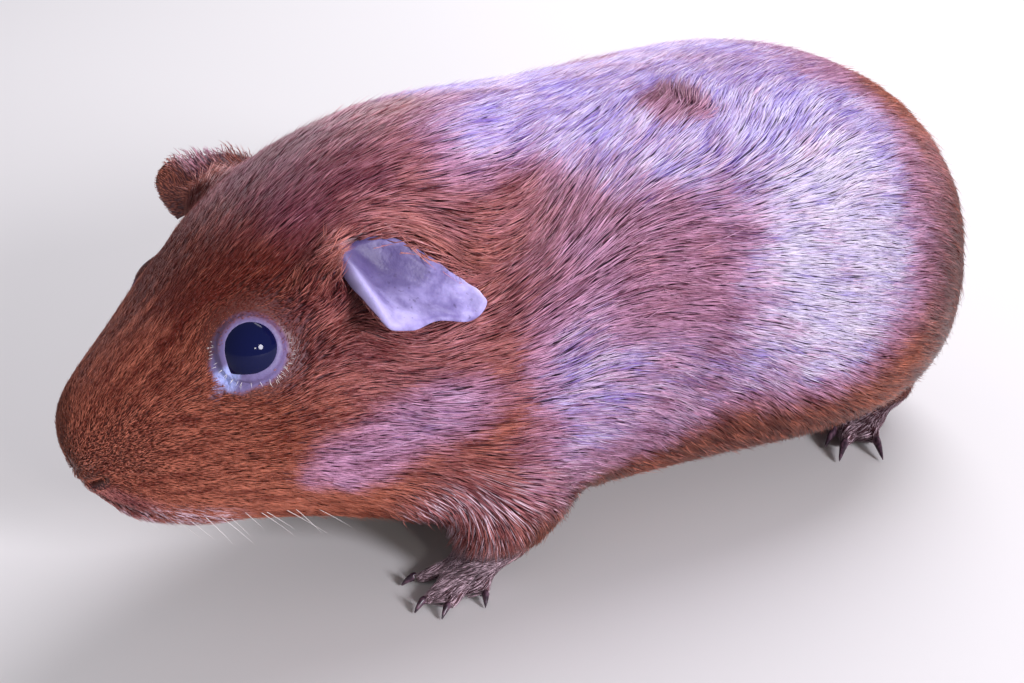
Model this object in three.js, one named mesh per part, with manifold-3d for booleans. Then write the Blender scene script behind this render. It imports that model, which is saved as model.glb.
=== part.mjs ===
// A smooth-coated guinea pig, standing alert, life size, as a still model.
// Millimetres, +Z up. The animal faces -Y, its left side is +X, and it stands on z = 0.
// The solids reach to the tips of the coat. They are faceted, and parted by thin cuts where a person
// would name the parts: head, neck, trunk, ears, eyes, legs, feet and claws.
import * as THREE from "three";
import { mergeVertices } from "three/addons/utils/BufferGeometryUtils.js";
import Module from "manifold-3d";

const wasm = await Module();
wasm.setup();

// ---- Driving dimensions ----
const NOSE_Y = -113; // the nose tip
const GAP = 0.3; // the thin cut between two neighbouring parts
const BODY_SIDES = 24; // facets around the body
const RINGS_PER_STATION = 2; // rings from one station of the body to the next
const LIMB_SIDES = 8;
const TOE_SIDES = 6;
const BLOCK = 400; // the size of the blocks that trim and part the body
const DEGREE = Math.PI / 180;

// Body stations, each a cross-section at a distance behind the nose tip: the heights of the back, of the
// widest level and of the belly, the half width, and how square the section is above and below its widest
// level (2 is an ellipse).
const STATIONS = [
  { name: "nose tip", at: 0, top: 42, level: 41, base: 40, half: 0, back: 2, belly: 2 },
  { name: "nose pad", at: 1.2, top: 46.5, level: 41, base: 35.5, half: 5, back: 2.1, belly: 2.1 },
  { name: "nostrils", at: 5, top: 51.5, level: 40, base: 29, half: 9, back: 2.2, belly: 2.2 },
  { name: "lips", at: 12, top: 57.5, level: 40, base: 22.5, half: 13.5, back: 2.3, belly: 2.3 },
  { name: "muzzle", at: 20, top: 64.5, level: 43, base: 19.5, half: 18, back: 2.4, belly: 2.4 },
  { name: "eyes", at: 29, top: 72.5, level: 48, base: 17.5, half: 22, back: 2.5, belly: 2.4 },
  { name: "brow", at: 39, top: 80.5, level: 48, base: 15.5, half: 25.5, back: 2.5, belly: 2.4 },
  { name: "ears", at: 50, top: 87, level: 46, base: 13, half: 28, back: 2.4, belly: 2.5 },
  { name: "nape", at: 62, top: 91, level: 45, base: 10.5, half: 31, back: 2.3, belly: 2.6 },
  { name: "neck", at: 75, top: 93, level: 44, base: 8, half: 34, back: 2.3, belly: 2.6 },
  { name: "shoulders", at: 92, top: 93, level: 43, base: 6, half: 38, back: 2.3, belly: 2.7 },
  { name: "chest", at: 112, top: 92.5, level: 42, base: 5, half: 41, back: 2.3, belly: 2.6 },
  { name: "ribs", at: 136, top: 93.5, level: 42, base: 4, half: 44.5, back: 2.3, belly: 2.5 },
  { name: "flanks", at: 160, top: 94, level: 42, base: 4, half: 47, back: 2.3, belly: 2.8 },
  { name: "loin", at: 182, top: 91, level: 41, base: 4.5, half: 46.5, back: 2.3, belly: 2.7 },
  { name: "hips", at: 202, top: 82, level: 39, base: 5.5, half: 41, back: 2.3, belly: 2.4 },
  { name: "rump", at: 216, top: 69, level: 37, base: 8, half: 31, back: 2.2, belly: 2.3 },
  { name: "seat", at: 224, top: 53, level: 35, base: 17, half: 17, back: 2.1, belly: 2.1 },
  { name: "tail bone", at: 226, top: 37, level: 36, base: 35, half: 0, back: 2, belly: 2 },
];

// Rounded swellings of the body, alike on both sides: where, how far they spread and how high.
const SWELLINGS = [
  { name: "cheek", centre: [24, -66, 34], spread: [14, 16, 15], height: 2.5 },
  { name: "breast", centre: [22, -46, 15], spread: [14, 14, 12], height: 5 },
  { name: "shoulder", centre: [36, -22, 34], spread: [18, 20, 20], height: 2.5 },
  { name: "haunch", centre: [42, 62, 28], spread: [20, 28, 22], height: 4 },
];

// Each leg from inside the body to the foot: [x, y, z, half width, half depth].
const LEGS = {
  fore: [
    [24, -18, 40, 12, 14],
    [28, -29, 25, 12, 17],
    [29.5, -33.5, 15, 10, 14.5],
    [29, -38.5, 8.5, 6.4, 6.8],
    [28, -40, 4.5, 5.4, 4.5],
  ],
  hind: [
    [26, 66, 34, 14, 18],
    [27, 77, 20, 12, 15],
    [25, 86, 10, 8, 9],
    [23, 89, 5, 6, 6],
  ],
};
// The rounded masses of shoulder and thigh, which belong to the leg.
const LEG_TOPS = {
  fore: { centre: [34, -25, 26], radii: [17, 19, 25] },
  hind: { centre: [38, 64, 24], radii: [19, 30, 30] },
};
// Feet: where the palm lies under the leg, which way it points (degrees out from straight ahead), and its
// toes, each from its root to its tip, measured from the middle of the palm.
const FEET = {
  fore: {
    palm: [27.5, -40],
    size: [4.8, 4.7, 5],
    heading: 28,
    toes: [
      { root: [-1.9, -3.4], tip: [-4.1, -12] },
      { root: [0, -3.2], tip: [3.9, -15.2] },
      { root: [2, -2], tip: [8.1, -12.3] },
      { root: [3, 0.2], tip: [8.8, -3.8] },
    ],
    toeRadius: 1.5,
    clawLength: 3.3,
    clawRadius: 1,
  },
  hind: {
    palm: [26.5, 78.5],
    size: [6.4, 8, 5],
    heading: 29,
    toes: [
      { root: [-1.8, -3.5], tip: [1.2, -10.7] },
      { root: [0.8, -3.5], tip: [7, -13.6] },
      { root: [2.8, -1.5], tip: [10.3, -6.4] },
    ],
    toeRadius: 2.1,
    clawLength: 7.5,
    clawRadius: 1.3,
  },
};
// The long sole behind each hind palm, to the heel: how far back, half width, half depth.
const HEEL = [
  [0, 5.5, 3.8],
  [8, 4.8, 3.6],
  [15, 4, 3.6],
  [20, 2.6, 2.8],
];
const HEEL_RISE = 3.2;
// How far each leg is set back from the left one's place, as in a slow walk.
const STRIDE = { left: { fore: 0, hind: 0 }, right: { fore: 16, hind: -10 } };

const EYE = { centre: [17.3, -83.3, 57.9], radius: 6.1 };

// The nostrils are short slanting slits: their two ends and how wide they are.
const NOSTRIL = {
  ends: [
    [3.6, -110, 32.2],
    [7.9, -109, 35],
  ],
  width: 0.9,
};

// The ear is a petal between its root on the head and its free rim, both from front to back. Its leading
// edge is a thick rolled ridge, and its root runs on into the head. The left ear droops beside the head, and
// the right one is pricked up and turned forward. `outer` is the way that the upper face of each looks.
const EAR = {
  root: [
    [21.5, -69, 72.7],
    [21.5, -65.9, 74.9],
    [22.8, -59.8, 75.9],
    [25.6, -54.3, 73.7],
    [28.5, -50.6, 70.4],
  ],
  rim: {
    left: [
      [33.7, -66.2, 64.5],
      [34.9, -64.6, 62.8],
      [35.9, -60.7, 62.6],
      [35.9, -55.6, 63.4],
      [36.2, -50.4, 61.9],
      [36.1, -47, 62],
      [35.3, -44.9, 63.4],
      [33.9, -44.8, 65.1],
      [31.6, -46.6, 67],
    ],
    right: [
      [27.5, -75.5, 66.5],
      [31.5, -76.8, 69.6],
      [34, -76.6, 73.4],
      [34, -74.6, 76.6],
      [33.2, -70.4, 77],
      [32, -64, 76.8],
      [30.4, -57.1, 75.2],
      [30, -52, 72],
    ],
  },
  outer: { left: [0.66, -0.15, 0.74], right: [-0.3, 0, 0.95] },
  sunk: 0.3,
  thickness: 1.7,
  roll: 2.2,
  rollLength: 0.14,
  cup: 1.4,
  across: 8,
  along: 4,
};
// The fleshy base under the front of each ear, around the ear's opening.
const EAR_BASE = { centre: [22, -70.5, 68.5], radii: [6, 5.5, 5] };

const SIDES = { left: 1, right: -1 };
const onSide = ([x, ...rest], side) => [x * side, ...rest];

// ---- Meshes and solids ----
function solidOf(geometry) {
  const bare = geometry.clone();
  bare.deleteAttribute("normal");
  bare.deleteAttribute("uv");
  const merged = mergeVertices(bare, 1e-3);
  const solid = new wasm.Manifold(
    new wasm.Mesh({
      numProp: 3,
      vertProperties: new Float32Array(merged.attributes.position.array),
      triVerts: new Uint32Array(merged.index.array),
    }),
  );
  if (solid.volume() < 0) throw new Error("a skin is inside out");
  return solid;
}

function geometryOf(solid) {
  const mesh = solid.getMesh();
  const positions = new Float32Array(mesh.numVert * 3);
  for (let i = 0; i < mesh.numVert; i++) {
    positions.set(mesh.vertProperties.subarray(i * mesh.numProp, i * mesh.numProp + 3), i * 3);
  }
  const geometry = new THREE.BufferGeometry();
  geometry.setAttribute("position", new THREE.BufferAttribute(positions, 3));
  geometry.setIndex(new THREE.BufferAttribute(new Uint32Array(mesh.triVerts), 1));
  geometry.computeVertexNormals();
  return geometry;
}

// The largest piece of a solid, without the crumbs that a thin cut can leave.
function largest(solid) {
  return solid
    .decompose()
    .reduce((a, b) => (a.volume() > b.volume() ? a : b))
    .simplify(0.15);
}

// A closed skin over rings of points, with a fan over each end.
function loft(rings) {
  const sides = rings[0].length;
  const points = rings.flat();
  const faces = [];
  const around = (ring, s) => [ring * sides + s, ring * sides + ((s + 1) % sides)];
  for (let r = 0; r + 1 < rings.length; r++) {
    for (let s = 0; s < sides; s++) {
      const [a, b] = around(r, s);
      faces.push(a, b, b + sides, a, b + sides, a + sides);
    }
  }
  for (const ring of [0, rings.length - 1]) {
    const middle = points.length;
    points.push(rings[ring].reduce((sum, p) => sum.add(p), new THREE.Vector3()).divideScalar(sides));
    for (let s = 0; s < sides; s++) {
      const [a, b] = around(ring, s);
      faces.push(...(ring === 0 ? [middle, b, a] : [middle, a, b]));
    }
  }
  const geometry = new THREE.BufferGeometry().setFromPoints(points);
  geometry.setIndex(faces);
  return geometry;
}

// A solid of elliptical rings along a smooth path of knots [x, y, z, half width, half depth]. The width
// runs along `wide`, and `grow` makes it larger all round.
function limb(knots, { wide, sides, rings, grow = 0 }) {
  const path = new THREE.CatmullRomCurve3(knots.map(([x, y, z]) => new THREE.Vector3(x, y, z)));
  const sizes = new THREE.CatmullRomCurve3(knots.map(([, , , w, d]) => new THREE.Vector3(w, d, 0)));
  const made = [];
  for (let r = 0; r <= rings; r++) {
    const t = r / rings;
    const along = path.getTangent(t);
    const across = wide.clone().addScaledVector(along, -wide.dot(along)).normalize();
    const deep = new THREE.Vector3().crossVectors(along, across);
    const middle = path.getPoint(t);
    if (r === 0) middle.addScaledVector(along, -grow);
    if (r === rings) middle.addScaledVector(along, grow);
    const { x: width, y: depth } = sizes.getPoint(t);
    made.push(
      Array.from({ length: sides }, (_, s) => {
        const angle = (2 * Math.PI * s) / sides;
        return middle
          .clone()
          .addScaledVector(across, (width + grow) * Math.cos(angle))
          .addScaledVector(deep, (depth + grow) * Math.sin(angle));
      }),
    );
  }
  return solidOf(loft(made));
}

function ball(centre, radii, grow = 0) {
  const geometry = new THREE.SphereGeometry(1, 12, 8);
  geometry.scale(...radii.map((r) => r + grow));
  geometry.translate(...centre);
  return solidOf(geometry);
}

// Everything beyond a plane through a point, along a direction.
function beyond(point, direction, shift = 0) {
  const geometry = new THREE.BoxGeometry(BLOCK, BLOCK, BLOCK);
  geometry.translate(0, 0, BLOCK / 2 + shift);
  const towards = new THREE.Vector3(...direction).normalize();
  geometry.applyQuaternion(new THREE.Quaternion().setFromUnitVectors(new THREE.Vector3(0, 0, 1), towards));
  geometry.translate(...point);
  return solidOf(geometry);
}

// ---- The body from nose to rump ----
function swell(point) {
  const push = new THREE.Vector3();
  for (const { centre, spread, height } of SWELLINGS) {
    const offset = [Math.abs(point.x) - centre[0], point.y - centre[1], point.z - centre[2]];
    const distance = offset.reduce((sum, d, i) => sum + (d / spread[i]) ** 2, 0);
    push.x += Math.sign(point.x) * height * Math.exp(-distance);
  }
  return point.add(push);
}

function body(grow = 0) {
  const curve = (...keys) =>
    new THREE.CatmullRomCurve3(STATIONS.map((s) => new THREE.Vector3(...keys.map((k) => s[k]))));
  const heights = curve("at", "top", "level");
  const widths = curve("at", "base", "half");
  const squareness = curve("at", "back", "belly");
  const count = (STATIONS.length - 1) * RINGS_PER_STATION;
  const rings = [];
  for (let r = 1; r < count; r++) {
    const { x: at, y: top, z: level } = heights.getPoint(r / count);
    const { y: base, z: half } = widths.getPoint(r / count);
    const { y: back, z: belly } = squareness.getPoint(r / count);
    rings.push(
      Array.from({ length: BODY_SIDES }, (_, s) => {
        const angle = (2 * Math.PI * s) / BODY_SIDES;
        const power = (value) => Math.sign(value) * Math.abs(value) ** (2 / (angle < Math.PI ? back : belly));
        const rise = power(Math.sin(angle));
        const height = (rise > 0 ? top - level : level - base) + grow;
        const width = (half + grow) * power(Math.cos(angle));
        return swell(new THREE.Vector3(-width, NOSE_Y + at, level + height * rise));
      }),
    );
  }
  return solidOf(loft(rings));
}

// ---- Legs and feet ----
const heading = (degrees) => new THREE.Vector3(Math.sin(degrees * DEGREE), -Math.cos(degrees * DEGREE), 0);

function leg(kind, sideName, grow = 0) {
  const side = SIDES[sideName];
  const back = STRIDE[sideName][kind];
  const knots = LEGS[kind].map(([x, y, z, w, d], i) => [x * side, y + back, z, w, d]);
  return limb(knots, { wide: new THREE.Vector3(1, 0, 0), sides: LIMB_SIDES, rings: 5, grow });
}

function legTop(kind, sideName, grow = 0) {
  const { centre, radii } = LEG_TOPS[kind];
  const [x, y, z] = onSide(centre, SIDES[sideName]);
  return ball([x, y + STRIDE[sideName][kind] / 2, z], radii, grow);
}

// The line of each toe: where it leaves the palm, which way it points and how long it is.
function toes(kind, sideName) {
  const side = SIDES[sideName];
  const foot = FEET[kind];
  const palm = new THREE.Vector3(foot.palm[0] * side, foot.palm[1] + STRIDE[sideName][kind], 0);
  return foot.toes.map(({ root, tip }) => {
    const start = palm.clone().add(new THREE.Vector3(...onSide(root, side), 0));
    const way = palm.clone().add(new THREE.Vector3(...onSide(tip, side), 0)).sub(start);
    const length = way.length();
    way.normalize();
    return { start, way, length, across: new THREE.Vector3(-way.y, way.x, 0), radius: foot.toeRadius };
  });
}

function foot(kind, sideName, grow = 0) {
  const side = SIDES[sideName];
  const { palm, size, heading: turned } = FEET[kind];
  const pad = new THREE.SphereGeometry(1, 9, 6);
  pad.scale(size[0] + grow, size[1] + grow, size[2] + grow);
  pad.rotateZ(turned * side * DEGREE);
  pad.translate(palm[0] * side, palm[1] + STRIDE[sideName][kind], size[2] * 0.75);
  let made = solidOf(pad);
  if (kind === "hind") {
    const heel = heading(turned * side).multiplyScalar(-1);
    const [x, y] = [palm[0] * side, palm[1] + STRIDE[sideName][kind]];
    const across = new THREE.Vector3(-heel.y, heel.x, 0);
    const knots = HEEL.map(([back, ...size]) => [x + heel.x * back, y + heel.y * back, HEEL_RISE, ...size]);
    made = made.add(limb(knots, { wide: across, sides: TOE_SIDES, rings: 4, grow }));
  }
  for (const { start, way, length, across, radius } of toes(kind, sideName)) {
    const knots = [0, 0.35, 0.75, 1].map((t, i) => {
      const place = start.clone().addScaledVector(way, length * t);
      const rise = radius * [1.9, 1.8, 1, 0.8][i];
      return [place.x, place.y, rise, radius * [1.1, 1, 0.95, 0.6][i], radius * [1.15, 1.1, 1, 0.65][i]];
    });
    made = made.add(limb(knots, { wide: across, sides: TOE_SIDES, rings: 3, grow }));
  }
  return made.intersect(beyond([0, 0, 0], [0, 0, 1]));
}

// A claw is a tapered horn that curves down from the tip of its toe.
function claw(kind, sideName, index) {
  const { clawLength, clawRadius } = FEET[kind];
  const { start, way, length, across, radius } = toes(kind, sideName)[index];
  const knots = [-0.25, 0.2, 0.6, 1].map((t, i) => {
    const place = start.clone().addScaledVector(way, length + clawLength * t * 0.92);
    const rise = radius * 0.95 + clawRadius * [0.3, 0.55, -0.15, -1.1][i];
    const size = clawRadius * [0.9, 1, 0.66, 0.2][i];
    return [place.x, place.y, Math.max(rise, size), size * 0.85, size];
  });
  return limb(knots, { wide: across, sides: TOE_SIDES, rings: 3 });
}

// ---- Nostrils and ears ----
function nostril(side) {
  const knots = NOSTRIL.ends.map((end) => [...onSide(end, side), NOSTRIL.width, NOSTRIL.width]);
  return limb(knots, { wide: new THREE.Vector3(0, 1, 0), sides: TOE_SIDES, rings: 2 });
}

function ear(sideName) {
  const side = SIDES[sideName];
  const place = (point) => new THREE.Vector3(...onSide(point, side));
  const curve = (points) => new THREE.CatmullRomCurve3(points.map(place));
  const root = curve(EAR.root);
  const rim = curve(EAR.rim[sideName]);
  const outward = place(EAR.outer[sideName]).normalize();
  const columns = EAR.across + 1;
  const rows = EAR.along + 1;
  const face = (lift) => {
    const points = [];
    for (let i = 0; i < columns; i++) {
      for (let j = 0; j < rows; j++) {
        const u = i / EAR.across;
        const v = (j / EAR.along) * (1 + EAR.sunk) - EAR.sunk;
        const spot = root.getPoint(u).lerp(rim.getPoint(u), v);
        const inside = Math.max(0, Math.min(1, v * 1.1));
        const hollow = EAR.cup * Math.sin(Math.PI * u) * Math.sin(Math.PI * inside);
        const rolled = EAR.roll * Math.exp(-((u / EAR.rollLength) ** 2));
        const thickness = EAR.thickness * (1 - 0.35 * v) + rolled;
        points.push(spot.addScaledVector(outward, lift * thickness - hollow));
      }
    }
    return points;
  };
  const points = [...face(0.5), ...face(-0.5)];
  const under = columns * rows;
  const faces = [];
  const quad = (a, b, c, d) => faces.push(a, b, c, a, c, d);
  const at = (i, j) => i * rows + j;
  for (let i = 0; i < EAR.across; i++) {
    for (let j = 0; j < EAR.along; j++) {
      quad(at(i, j), at(i, j + 1), at(i + 1, j + 1), at(i + 1, j));
      quad(under + at(i, j), under + at(i + 1, j), under + at(i + 1, j + 1), under + at(i, j + 1));
    }
    quad(at(i, 0), at(i + 1, 0), under + at(i + 1, 0), under + at(i, 0));
    quad(at(i + 1, EAR.along), at(i, EAR.along), under + at(i, EAR.along), under + at(i + 1, EAR.along));
  }
  for (let j = 0; j < EAR.along; j++) {
    quad(at(0, j + 1), at(0, j), under + at(0, j), under + at(0, j + 1));
    quad(at(EAR.across, j), at(EAR.across, j + 1), under + at(EAR.across, j + 1), under + at(EAR.across, j));
  }
  if (side < 0) faces.reverse();
  const geometry = new THREE.BufferGeometry().setFromPoints(points);
  geometry.setIndex(faces);
  return solidOf(geometry);
}

// ---- The whole animal, then its parts ----
const FINISHES = {
  coat: new THREE.MeshStandardMaterial({ color: 0x8f4f33, roughness: 0.55, metalness: 0 }),
  ear: new THREE.MeshStandardMaterial({ color: 0x8a7c93, roughness: 0.6, metalness: 0 }),
  eye: new THREE.MeshStandardMaterial({ color: 0x0b0b12, roughness: 0.05, metalness: 0 }),
  foot: new THREE.MeshStandardMaterial({ color: 0x5b4440, roughness: 0.65, metalness: 0 }),
  claw: new THREE.MeshStandardMaterial({ color: 0x2e1d1a, roughness: 0.35, metalness: 0 }),
};

const model = new THREE.Group();
function addPart(name, solid, finish) {
  const mesh = new THREE.Mesh(geometryOf(largest(solid)), FINISHES[finish]);
  mesh.name = name;
  model.add(mesh);
}

const HEAD_CUT = [[0, -50, 50], [0, 1, -0.35]];
const NECK_CUT = [[0, -27, 50], [0, 1, -0.2]];

const earBase = (side, grow = 0) => ball(onSide(EAR_BASE.centre, side), EAR_BASE.radii, grow);

let flesh = body();
for (const [sideName, side] of Object.entries(SIDES)) {
  flesh = flesh.add(earBase(side));
  for (const kind of Object.keys(FEET)) flesh = flesh.add(leg(kind, sideName));
}
flesh = flesh.intersect(beyond([0, 0, 0.8], [0, 0, 1]));

const bodyGrown = body(GAP);
for (const [sideName, side] of Object.entries(SIDES)) {
  for (const kind of Object.keys(FEET)) {
    const footGrown = foot(kind, sideName, GAP);
    const region = legTop(kind, sideName).add(leg(kind, sideName, GAP));
    const regionGrown = legTop(kind, sideName, GAP).add(leg(kind, sideName, 2 * GAP));
    const footSolid = foot(kind, sideName);
    addPart(`${kind}leg_${sideName}`, flesh.intersect(region).subtract(footGrown), "coat");
    addPart(`${kind}foot_${sideName}`, footSolid, "foot");
    FEET[kind].toes.forEach((_, i) => {
      addPart(`claw_${kind}_${sideName}_${i + 1}`, claw(kind, sideName, i).subtract(footGrown), "claw");
    });
    flesh = flesh.subtract(regionGrown).subtract(footGrown);
  }
  const eyeCentre = onSide(EYE.centre, side);
  const eyeRadii = [EYE.radius, EYE.radius, EYE.radius];
  addPart(`eye_${sideName}`, ball(eyeCentre, eyeRadii), "eye");
  flesh = flesh.subtract(ball(eyeCentre, eyeRadii, GAP)).subtract(nostril(side));
  addPart(`ear_${sideName}`, ear(sideName).subtract(bodyGrown).subtract(earBase(side, GAP)), "ear");
}
addPart("head", flesh.subtract(beyond(...HEAD_CUT)), "coat");
addPart("neck", flesh.intersect(beyond(...HEAD_CUT, GAP)).subtract(beyond(...NECK_CUT)), "coat");
addPart("trunk", flesh.intersect(beyond(...NECK_CUT, GAP)), "coat");

export default model;
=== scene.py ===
# A smooth-coated guinea pig, standing alert: one skin, a coat of hair tufts over it, whiskers, lashes,
# glossy eyes and horn claws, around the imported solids.
import itertools
import math

import bmesh
import bpy
import numpy as np
from mathutils import Matrix, Vector
from mathutils.bvhtree import BVHTree


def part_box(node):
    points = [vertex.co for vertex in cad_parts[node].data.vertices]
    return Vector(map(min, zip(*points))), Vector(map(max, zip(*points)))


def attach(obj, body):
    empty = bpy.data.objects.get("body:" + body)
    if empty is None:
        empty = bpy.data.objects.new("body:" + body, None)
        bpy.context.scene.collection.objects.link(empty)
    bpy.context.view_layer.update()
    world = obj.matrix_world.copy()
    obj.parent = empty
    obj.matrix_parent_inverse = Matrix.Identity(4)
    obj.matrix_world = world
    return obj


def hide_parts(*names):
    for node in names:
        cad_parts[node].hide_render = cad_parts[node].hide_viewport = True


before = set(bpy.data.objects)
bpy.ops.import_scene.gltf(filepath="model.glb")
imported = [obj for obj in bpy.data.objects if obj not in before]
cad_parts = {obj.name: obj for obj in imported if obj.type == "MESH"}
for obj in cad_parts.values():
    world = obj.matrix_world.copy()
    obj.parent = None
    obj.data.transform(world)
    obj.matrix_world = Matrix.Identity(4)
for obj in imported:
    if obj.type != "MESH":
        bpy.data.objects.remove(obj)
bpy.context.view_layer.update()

# ---- Measures, in millimetres unless a comment says otherwise ----
MM = 0.001
SIDES = {"left": 1, "right": -1}
LEG_NODES = [f"{kind}_{side}" for kind in ("foreleg", "hindleg") for side in SIDES]
FOOT_NODES = [f"{kind}_{side}" for kind in ("forefoot", "hindfoot") for side in SIDES]
FLESH = ["head", "neck", "trunk", *LEG_NODES, *FOOT_NODES]
CLAWS = sorted(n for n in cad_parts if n.startswith("claw_"))
SEAM_OVERLAP = 0.5  # how far each part grows, so that the thin cuts between the parts close
SKIN_GRAIN = 1.2  # the spacing of the skin's points before its fine places are divided
WELD = 0.01  # points closer than this are made one
COAT_BODY = 2.3  # how deep the coat is on the body, from skin to tips
COAT_FACE_LESS = 1.75  # by how much it is less at the nose
COAT_FOOT, COAT_EAR = 0.5, 0.45


def node_box(name):
    low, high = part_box(name)
    return np.array(low) / MM, np.array(high) / MM


def ramp(value, low, high):
    """0 below low, 1 above high, and smooth between them."""
    t = np.clip((value - low) / (high - low), 0, 1)
    return t * t * (3 - 2 * t)


def unit(vectors):
    return vectors / np.maximum(np.linalg.norm(vectors, axis=-1, keepdims=True), 1e-9)


def bell(value, width, middle=0.0):
    """1 at the middle, about a third at one width from it, and smooth all over."""
    return np.exp(-(((value - middle) / width) ** 2))


def mirrored(vector, side):
    """A vector of the left side as it is on the side whose sign is given."""
    return np.asarray(vector, float) * [side, 1, 1]


def folded(points):
    """The points with the right side turned over on to the left."""
    return np.column_stack([np.abs(points[:, 0]), points[:, 1:]])


NOSE_TIP = node_box("head")[0][1]  # how far forward the head reaches
EYES = {}  # the middles of the eyeballs
for side_name in SIDES:
    low, high = node_box("eye_" + side_name)
    EYES[side_name] = (low + high) / 2
EYE_RADIUS = float((high - low).max() / 2)
EYE_AXIS = unit(np.array([0.82, -0.36, 0.42]))  # the way the left eye looks


def ripple(points, wavelength, seed):
    """A smooth pattern of hills and hollows between about -1 and 1, with no repeat that shows."""
    rng = np.random.default_rng(seed)
    total = np.zeros(len(points))
    for _ in range(7):
        way = unit(rng.normal(size=3)) * rng.uniform(0.7, 1.4)
        total += np.sin(points @ way * 2 * math.pi / wavelength + rng.uniform(0, 2 * math.pi))
    return total / 2.6


CELL_MIXERS = [73856093, 19349663, 83492791]  # large primes that turn a cell's three numbers into one


def lattice_noise(points, spacing, seed):
    """Smooth random hills and hollows between -1 and 1, about spacing apart."""
    heights = np.random.default_rng(seed).uniform(-1, 1, 65536)
    place = points / spacing
    cell = np.floor(place).astype(np.int64)
    part = ramp(place - cell, 0, 1)
    total = np.zeros(len(points))
    for corner in itertools.product((0, 1), repeat=3):
        chosen = ((cell + corner) * CELL_MIXERS).sum(axis=1) % len(heights)
        total += heights[chosen] * np.where(corner, part, 1 - part).prod(axis=1)
    return total


def streaks(points, way, spacing, reach, seed):
    """Noise drawn out along the way the hair lies: locks with thin gaps between them, from -1 to 1."""
    steps = np.linspace(-reach, reach, 9)
    total = sum(lattice_noise(points + way * step, spacing, seed) for step in steps)
    contrast = 3
    return np.clip(total / len(steps) * contrast, -1, 1)


# ---- Mesh helpers ----
def read_points(mesh):
    points = np.empty(len(mesh.vertices) * 3)
    mesh.vertices.foreach_get("co", points)
    return points.reshape(-1, 3) / MM


def write_points(mesh, points):
    mesh.vertices.foreach_set("co", (points * MM).ravel())
    mesh.update()


def read_normals(mesh):
    normals = np.empty(len(mesh.vertices) * 3)
    mesh.vertex_normals.foreach_get("vector", normals)
    return normals.reshape(-1, 3)


def read_edges(mesh):
    edges = np.empty(len(mesh.edges) * 2, np.int64)
    mesh.edges.foreach_get("vertices", edges)
    return edges.reshape(-1, 2)


def relax(mesh, weight, times):
    """Moves each point towards the middle of its neighbours, weight of the way, some times over."""
    points, (a, b) = read_points(mesh), read_edges(mesh).T
    size = len(points)
    neighbours = np.maximum(np.bincount(a, minlength=size) + np.bincount(b, minlength=size), 1)
    for _ in range(times):
        for axis in range(3):
            line = points[:, axis]
            middle = (np.bincount(a, line[b], size) + np.bincount(b, line[a], size)) / neighbours
            points[:, axis] = line + (middle - line) * weight
    write_points(mesh, points)


def keep_value(mesh, name, values):
    attribute = mesh.attributes.get(name) or mesh.attributes.new(name, "FLOAT", "POINT")
    attribute.data.foreach_set("value", np.asarray(values, np.float32))


def kept_value(mesh, name):
    values = np.empty(len(mesh.vertices), np.float32)
    mesh.attributes[name].data.foreach_get("value", values)
    return values


def piece_of(name, mesh):
    piece = bpy.data.objects.new(name, mesh)
    bpy.context.scene.collection.objects.link(piece)
    return piece


def finished_mesh(piece, name):
    """The piece's mesh with its modifiers applied, and the piece itself taken away."""
    graph = bpy.context.evaluated_depsgraph_get()
    mesh = bpy.data.meshes.new_from_object(piece.evaluated_get(graph))
    mesh.name = name
    bpy.data.objects.remove(piece)
    return mesh


def smooth_shaded(mesh):
    mesh.polygons.foreach_set("use_smooth", np.ones(len(mesh.polygons), bool))


# ---- The skin ----
def closed_flesh():
    """All flesh solids, and the eyeballs that the lids will sit on, grown together into one closed mesh."""
    whole = bmesh.new()
    for name in [*FLESH, "eye_left", "eye_right"]:
        part = bmesh.new()
        part.from_mesh(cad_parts[name].data)
        bmesh.ops.remove_doubles(part, verts=part.verts, dist=WELD * MM)
        part.normal_update()
        grown = 0 if name.startswith("eye") else SEAM_OVERLAP * MM
        for vert, normal in [(v, v.normal.copy()) for v in part.verts]:
            vert.co += normal * grown
        spare = bpy.data.meshes.new("part")
        part.to_mesh(spare)
        part.free()
        whole.from_mesh(spare)
        bpy.data.meshes.remove(spare)
    mesh = bpy.data.meshes.new("flesh")
    whole.to_mesh(mesh)
    whole.free()
    piece = piece_of("flesh", mesh)
    remesh = piece.modifiers.new("one skin", "REMESH")
    remesh.mode = "VOXEL"
    remesh.voxel_size = SKIN_GRAIN * MM
    return finished_mesh(piece, "skin")


def divide_where(mesh, wanted):
    """Halves the spacing of the points where wanted(points) is true."""
    bm = bmesh.new()
    bm.from_mesh(mesh)
    points = np.array([v.co for v in bm.verts]) / MM
    inside = wanted(points)
    edges = [e for e in bm.edges if inside[e.verts[0].index] and inside[e.verts[1].index]]
    bmesh.ops.subdivide_edges(bm, edges=edges, cuts=1, use_grid_fill=True)
    bmesh.ops.triangulate(bm, faces=[f for f in bm.faces if len(f.verts) > 4])
    bm.to_mesh(mesh)
    bm.free()


def outside_box(points, name, margin=0.0):
    """How far points lie outside a node's box grown by a margin."""
    low, high = node_box(name)
    over = np.maximum(np.maximum(low - margin - points, points - high - margin), 0)
    return np.linalg.norm(over, axis=1)


def foot_share(points):
    """1 on the feet and 0 well above them."""
    return 1 - ramp(np.min([outside_box(points, name) for name in FOOT_NODES], axis=0), 0.2, 4)


def face_share(points):
    """1 at the nose and 0 from the neck on."""
    return 1 - ramp(points[:, 1], NOSE_TIP + 6, NOSE_TIP + 75)


def eye_distance(points):
    return np.min([np.linalg.norm(points - centre, axis=1) for centre in EYES.values()], axis=0)


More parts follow.
